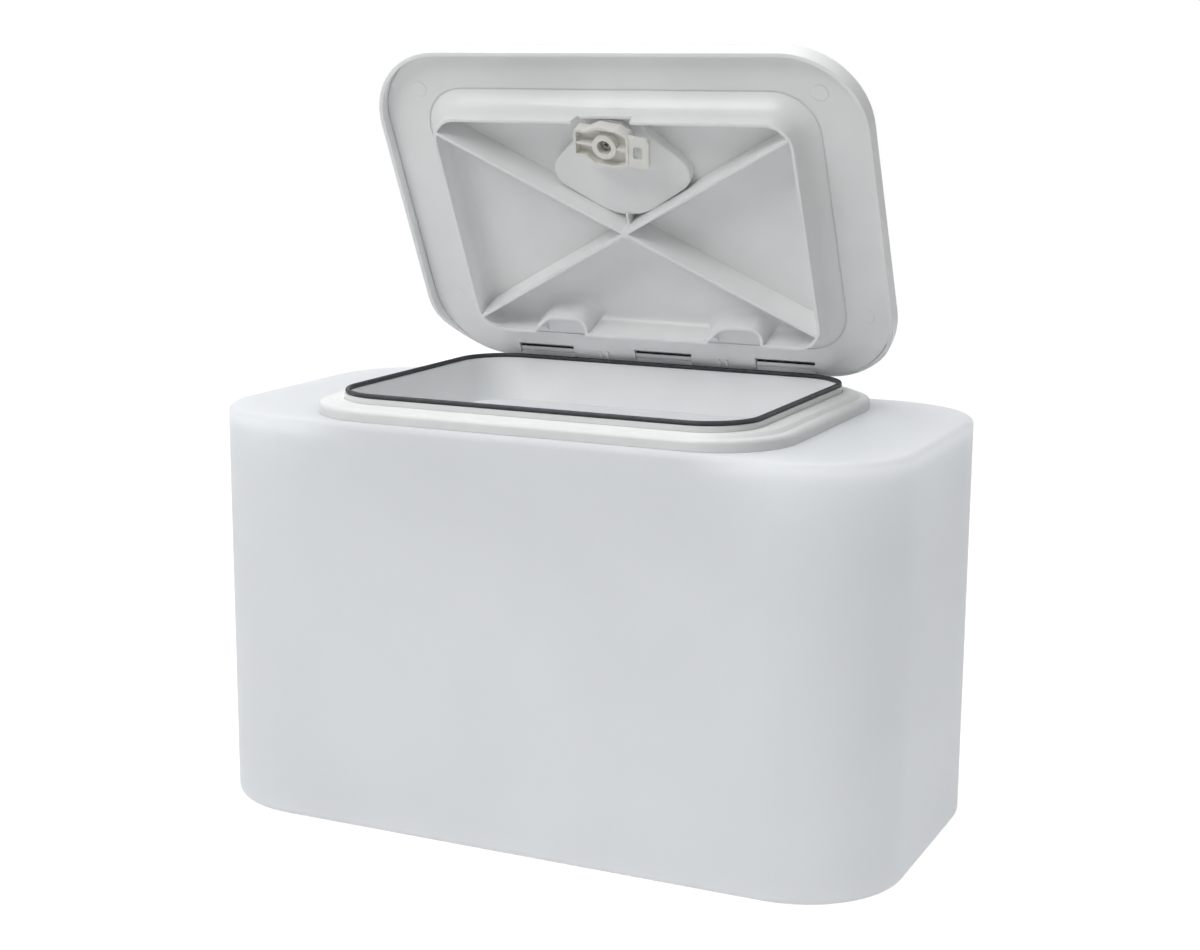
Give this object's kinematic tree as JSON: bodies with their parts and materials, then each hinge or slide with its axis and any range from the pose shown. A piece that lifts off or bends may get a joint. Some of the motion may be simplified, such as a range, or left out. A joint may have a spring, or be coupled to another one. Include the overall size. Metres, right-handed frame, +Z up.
{
  "type": "live bait well",
  "caption": "White moulded plastic live bait tank with rounded corners and a hinged access hatch, its ribbed lid standing open.",
  "frame": {"origin": "middle of the tank's flat underside", "axes": "X along the tank, +Y to the rear where the lid is hinged, +Z up"},
  "size_m": [0.506, 0.3112, 0.5386],
  "materials": {
    "tank_plastic": "satin white moulded polyethylene, a little translucent",
    "hatch_plastic": "glossy white moulded plastic",
    "latch_plastic": "glossy cream-white nylon",
    "black_rubber": "matt black rubber",
    "bedding_foam": "pale closed-cell gasket",
    "rod_black": "black acetal rod",
    "stainless": "plain stainless steel",
    "fitting_plastic": "satin white nylon"
  },
  "bodies": {
    "tank": {"tank_shell": "tank_plastic", "hatch_frame": "hatch_plastic", "frame_trim_ring": "hatch_plastic", "lid_seal": "black_rubber", "inlet_washer": "black_rubber", "overflow_washer": "black_rubber", "drain_washer": "black_rubber", "frame_bedding_seal": "bedding_foam", "frame_screws": "stainless", "inlet_fitting": "fitting_plastic", "inlet_nut": "fitting_plastic", "overflow_fitting": "fitting_plastic", "overflow_nut": "fitting_plastic", "overflow_strainer": "fitting_plastic", "drain_socket": "fitting_plastic", "drain_nut": "fitting_plastic"},
    "lid": {"lid_cover": "hatch_plastic", "lid_liner": "hatch_plastic", "hinge_rod_left": "rod_black", "hinge_rod_middle": "rod_black", "hinge_rod_right": "rod_black", "spindle_bush": "latch_plastic"},
    "latch": {"latch_handle": "latch_plastic", "latch_spindle": "stainless", "spindle_o_ring": "black_rubber", "cam_washer": "stainless", "latch_cam": "latch_plastic", "cam_screw": "stainless"},
    "bung": {"drain_bung": "fitting_plastic", "bung_o_ring": "black_rubber"}
  },
  "joints": [
    {"name": "lid_hinge", "type": "hinge", "parent": "tank", "child": "lid", "pos_m": [0, 0.1234, 0.3095], "axis": [-1, 0, 0], "range_deg": [-63.6, 36.4]},
    {"name": "latch_turn", "type": "hinge", "parent": "lid", "child": "latch", "pos_m": [0, 0.03759, 0.48237], "axis": [0, -0.8957, -0.4446], "range_deg": [0, 100]},
    {"name": "bung_pull", "type": "slide", "parent": "tank", "child": "bung", "axis": [0, 1, 0], "range_m": [0, 0.022]}
  ]
}
